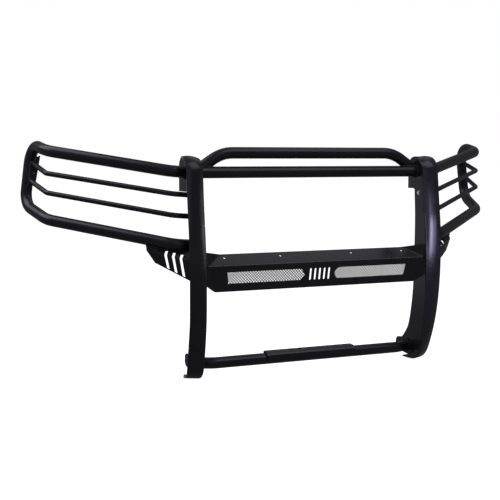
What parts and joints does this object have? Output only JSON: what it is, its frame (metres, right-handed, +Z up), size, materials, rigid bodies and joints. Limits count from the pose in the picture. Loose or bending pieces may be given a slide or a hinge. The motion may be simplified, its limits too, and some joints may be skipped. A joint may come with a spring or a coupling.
{
  "type": "front grille guard",
  "caption": "Pickup front grille guard: pressed uprights, cross tubes with a top hoop, lamp housing with mesh windows, step saddle and swept-back headlamp wings.",
  "frame": {"origin": "centre of the bounding box's bottom face: on the guard's centre plane, level with the lowest point of the uprights", "axes": "+X to the right in the picture, across the vehicle; -Y is the guard's front; +Z up"},
  "size_m": [1.812, 0.5015, 0.785],
  "materials": {
    "tube_coat": "satin fine-texture black powder coat",
    "plate_coat": "satin fine-texture black powder coat",
    "mesh_coat": "satin black coated expanded mesh",
    "black_zinc": "black zinc plated",
    "bright_zinc": "bright zinc plated"
  },
  "bodies": {
    "root": {"cross_tube": "tube_coat", "face_screw_lower_left": "black_zinc", "face_screw_lower_right": "black_zinc", "face_screw_nut_lower_left": "black_zinc", "face_screw_nut_lower_right": "black_zinc", "face_screw_nut_upper_left": "black_zinc", "face_screw_nut_upper_right": "black_zinc", "face_screw_upper_left": "black_zinc", "face_screw_upper_right": "black_zinc", "foot_plate_left": "plate_coat", "foot_plate_right": "plate_coat", "gusset_left": "plate_coat", "gusset_right": "plate_coat", "lamp_housing": "plate_coat", "lower_tube": "tube_coat", "mesh_panel_left": "mesh_coat", "mesh_panel_right": "mesh_coat", "mount_bracket_left": "plate_coat", "mount_bracket_right": "plate_coat", "rod_plate_left": "plate_coat", "rod_plate_right": "plate_coat", "side_bolt_left": "bright_zinc", "side_bolt_nut_left": "black_zinc", "side_bolt_nut_right": "black_zinc", "side_bolt_right": "bright_zinc", "step_saddle": "plate_coat", "stiffener_left": "plate_coat", "stiffener_right": "plate_coat", "top_hoop": "tube_coat", "upright_left": "plate_coat", "upright_right": "plate_coat", "wing_loop_left": "tube_coat", "wing_loop_right": "tube_coat", "wing_rod_lower_left": "tube_coat", "wing_rod_lower_right": "tube_coat", "wing_rod_upper_left": "tube_coat", "wing_rod_upper_right": "tube_coat"}
  },
  "joints": []
}
